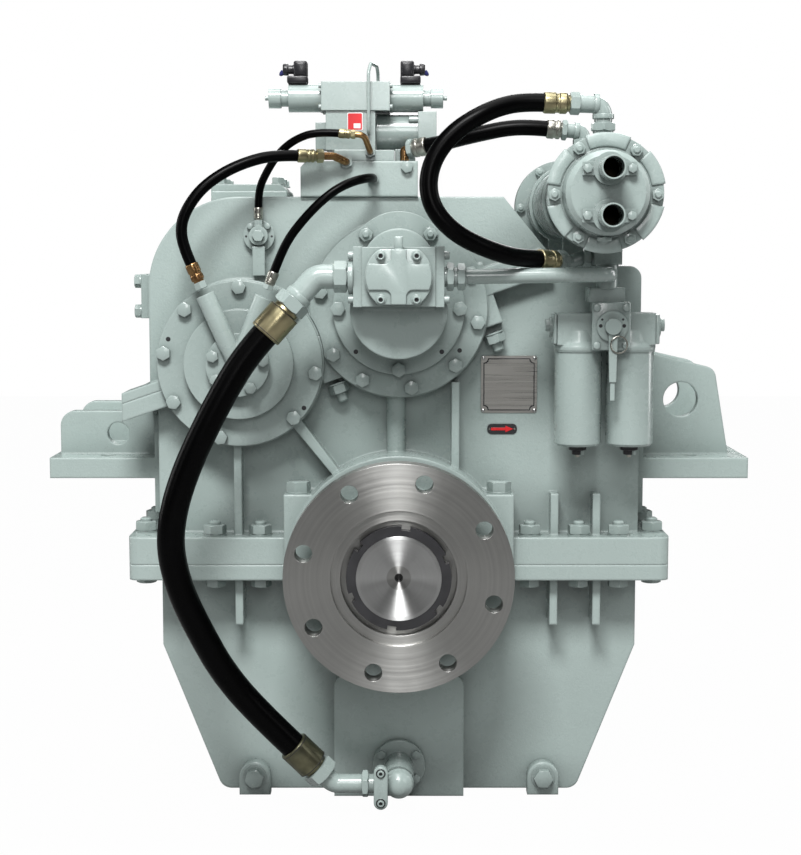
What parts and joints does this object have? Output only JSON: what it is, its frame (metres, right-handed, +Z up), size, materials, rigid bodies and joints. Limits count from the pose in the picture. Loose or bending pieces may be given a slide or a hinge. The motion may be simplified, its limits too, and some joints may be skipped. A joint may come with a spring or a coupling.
{
  "type": "marine gearbox",
  "caption": "Reversing reduction gearbox for a ship's main engine, with output flange, oil pump, tube cooler, duplex filter, electric control valve and mounting brackets.",
  "frame": {"origin": "centre of the output flange's front face, on the output shaft's axis", "axes": "-Y out of the output flange towards the propeller shaft, +Y towards the engine, +Z up, +X to the right seen from the output flange"},
  "size_m": [1.304, 1.05, 1.349],
  "materials": {
    "casing_enamel": "semi-gloss pale grey-green enamel over sand-cast iron",
    "cover_enamel": "semi-gloss pale grey-green enamel on machined covers and fittings",
    "bright_steel": "bare turned steel",
    "gear_steel": "ground and oiled steel",
    "black_steel": "black oxide",
    "shaft_steel": "polished steel",
    "friction_lining": "sintered friction lining",
    "hose_rubber": "matt black rubber",
    "fitting_zinc": "yellow passivated zinc",
    "black_plastic": "moulded black plastic",
    "filter_paper": "pleated filter paper in a perforated tube",
    "tube_brass": "drawn tube"
  },
  "bodies": {
    "housing": {"lower_casing": "casing_enamel", "top_casing": "casing_enamel", "middle_casing": "casing_enamel", "casing_joint_bolts": "cover_enamel", "left_mounting_bracket": "casing_enamel", "right_mounting_bracket": "casing_enamel", "shaft_bearings": "gear_steel", "output_seal_cover": "cover_enamel", "input_front_cover": "cover_enamel", "countershaft_cover": "cover_enamel", "oil_distributor_cap": "cover_enamel", "pump_adapter": "cover_enamel", "pump_body": "cover_enamel", "pump_end_cover": "cover_enamel", "inspection_covers": "cover_enamel", "rear_bearing_covers": "cover_enamel", "cooler_shell": "cover_enamel", "cooler_front_cap": "cover_enamel", "cooler_water_ports": "bright_steel", "cooler_rear_cap": "cover_enamel", "cooler_tube_bundle": "tube_brass", "cooler_saddles": "cover_enamel", "filter_head": "cover_enamel", "filter_bowls": "cover_enamel", "filter_elements": "filter_paper", "valve_manifold": "cover_enamel", "valve_body": "cover_enamel", "solenoid_block": "cover_enamel", "solenoids": "cover_enamel", "solenoid_plugs": "black_plastic", "damper_cylinder": "cover_enamel", "sensor_flange": "cover_enamel", "suction_hose": "hose_rubber", "cooler_inlet_hose": "hose_rubber", "cooler_outlet_hose": "hose_rubber", "clutch_oil_hose": "hose_rubber", "pressure_hose": "hose_rubber", "lubrication_hose": "hose_rubber", "hose_fittings": "fitting_zinc", "suction_elbows": "cover_enamel", "oil_pipes": "cover_enamel", "cover_fasteners": "cover_enamel"},
    "output_line": {"output_shaft": "shaft_steel", "output_gear": "gear_steel", "output_flange": "bright_steel", "flange_lock_nut": "black_steel"},
    "input_line": {"input_shaft": "gear_steel", "input_coupling": "bright_steel", "ahead_drum_gear": "gear_steel", "ahead_steel_plates": "gear_steel"},
    "counter_line": {"countershaft": "gear_steel", "astern_drum_gear": "gear_steel", "astern_steel_plates": "gear_steel"},
    "ahead_pinion_line": {"ahead_pinion": "gear_steel", "ahead_friction_discs": "friction_lining"},
    "astern_pinion_line": {"astern_pinion": "gear_steel", "astern_friction_discs": "friction_lining"},
    "pump_drive": {"pump_drive_gear": "gear_steel"},
    "pump_idler": {"pump_idler_gear": "gear_steel"},
    "filter_lever": {"changeover_lever": "cover_enamel"}
  },
  "joints": [
    {"name": "output_spin", "type": "hinge", "parent": "housing", "child": "output_line", "pos_m": [0, 0, 0], "axis": [0, 1, 0], "continuous": true},
    {"name": "input_spin", "type": "hinge", "parent": "housing", "child": "input_line", "pos_m": [0, 0, 0.46], "axis": [0, 1, 0], "continuous": true},
    {"name": "counter_spin", "type": "hinge", "parent": "housing", "child": "counter_line", "pos_m": [-0.2836, 0, 0.36217], "axis": [0, 1, 0], "continuous": true},
    {"name": "ahead_pinion_spin", "type": "hinge", "parent": "housing", "child": "ahead_pinion_line", "pos_m": [0, 0, 0.46], "axis": [0, 1, 0], "continuous": true},
    {"name": "astern_pinion_spin", "type": "hinge", "parent": "housing", "child": "astern_pinion_line", "pos_m": [-0.2836, 0, 0.36217], "axis": [0, 1, 0], "continuous": true},
    {"name": "pump_drive_spin", "type": "hinge", "parent": "housing", "child": "pump_drive", "pos_m": [0, 0, 0.538], "axis": [0, 1, 0], "continuous": true},
    {"name": "pump_idler_spin", "type": "hinge", "parent": "housing", "child": "pump_idler", "pos_m": [0, 0, 0.498], "axis": [0, 1, 0], "continuous": true},
    {"name": "changeover", "type": "hinge", "parent": "housing", "child": "filter_lever", "pos_m": [0.369, 0.05, 0.432], "axis": [0, 1, 0], "range_deg": [-60, 60]}
  ],
  "couplings": [
    {"joint": "counter_spin", "follows": "input_spin", "ratio": -1.1053},
    {"joint": "ahead_pinion_spin", "follows": "output_spin", "ratio": -4.1111},
    {"joint": "astern_pinion_spin", "follows": "output_spin", "ratio": -4.1111},
    {"joint": "pump_drive_spin", "follows": "input_spin", "ratio": -1.6},
    {"joint": "pump_idler_spin", "follows": "input_spin", "ratio": 1.6}
  ]
}
